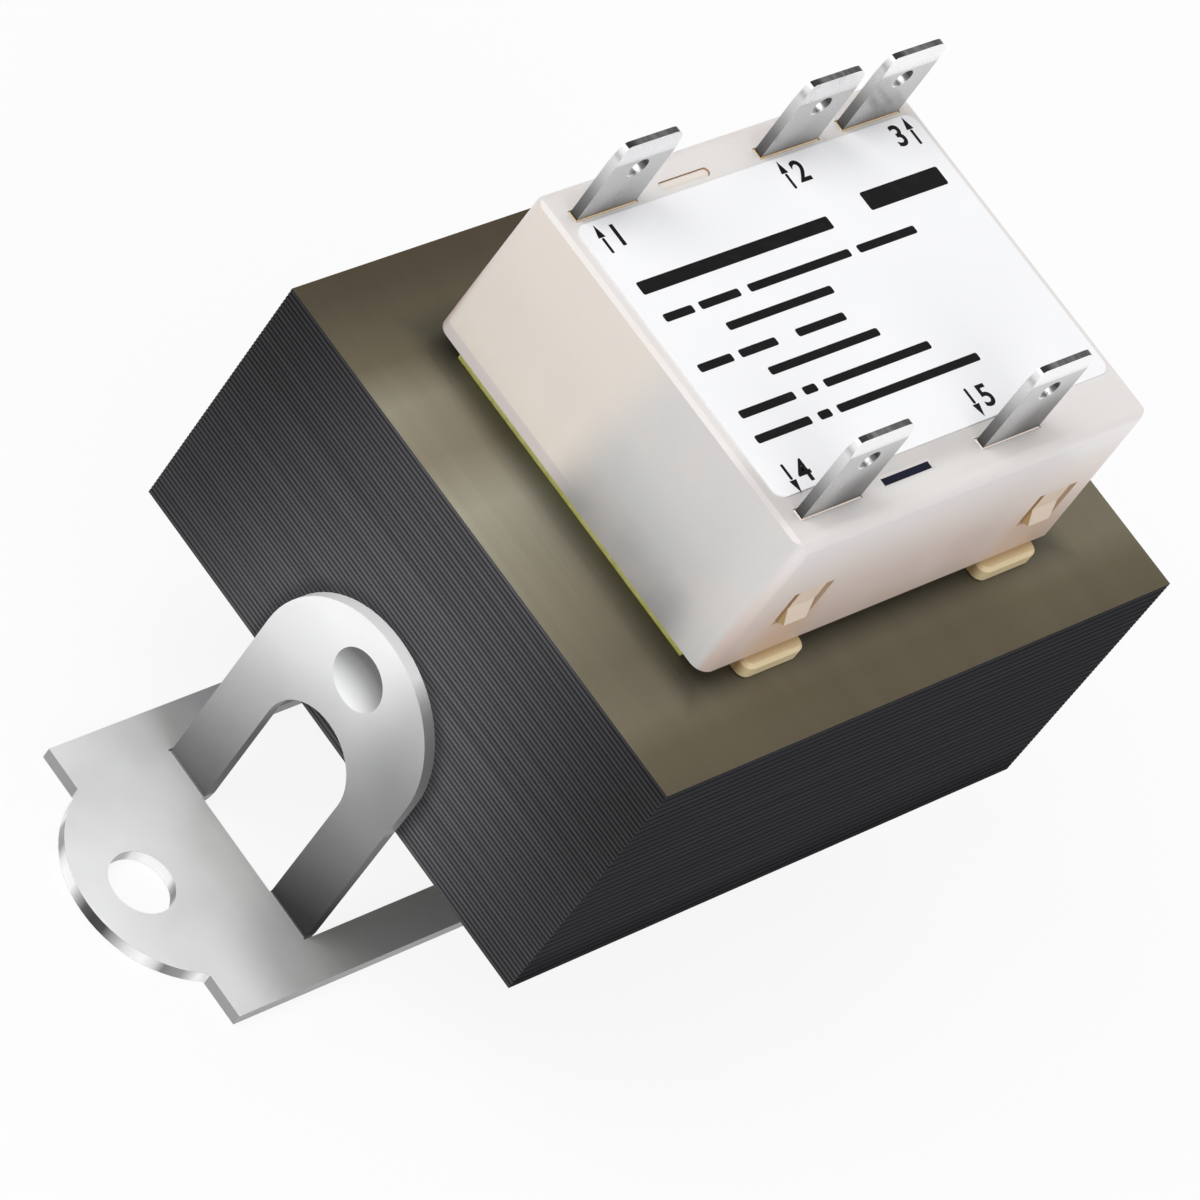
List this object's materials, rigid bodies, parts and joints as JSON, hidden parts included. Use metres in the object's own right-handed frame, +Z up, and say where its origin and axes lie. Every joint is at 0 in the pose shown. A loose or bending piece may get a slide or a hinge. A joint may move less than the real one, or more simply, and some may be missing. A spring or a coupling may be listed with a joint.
{
  "type": "transformer",
  "caption": "Foot-mounted laminated control transformer: steel core on an upturned-tongue bracket, with a white nylon cover and push-on terminals.",
  "frame": {"origin": "underside of the bracket's sheet, midway between its two mounting holes", "axes": "+Z up to the terminals, X from mounting foot to mounting foot, the secondary terminals towards -Y"},
  "size_m": [0.0904, 0.0476, 0.066],
  "materials": {
    "zinc_plated_sheet": "smooth zinc plating",
    "lamination_steel": "dark oxide, brushed along Y on top",
    "bobbin_nylon": "cream moulded nylon",
    "magnet_wire": "enamelled copper",
    "yellow_tape": "yellow polyester film",
    "tinned_brass": "bright tin plating",
    "cover_nylon": "white moulded nylon, slightly translucent",
    "label_paper": "smooth white film"
  },
  "bodies": {
    "root": {"mounting_bracket": "zinc_plated_sheet", "e_lamination_stack": "lamination_steel", "i_lamination_stack": "lamination_steel", "bobbin": "bobbin_nylon", "primary_winding": "magnet_wire", "secondary_winding": "magnet_wire", "primary_winding_wrap": "yellow_tape", "secondary_winding_wrap": "yellow_tape", "outer_coil_tape": "yellow_tape", "primary_lead_1": "magnet_wire", "primary_lead_2": "magnet_wire", "primary_lead_3": "magnet_wire", "secondary_lead_1": "magnet_wire", "secondary_lead_2": "magnet_wire", "primary_terminal_1": "tinned_brass", "primary_terminal_2": "tinned_brass", "primary_terminal_3": "tinned_brass", "secondary_terminal_1": "tinned_brass", "secondary_terminal_2": "tinned_brass", "terminal_cover": "cover_nylon", "cover_label": "label_paper"}
  },
  "joints": []
}
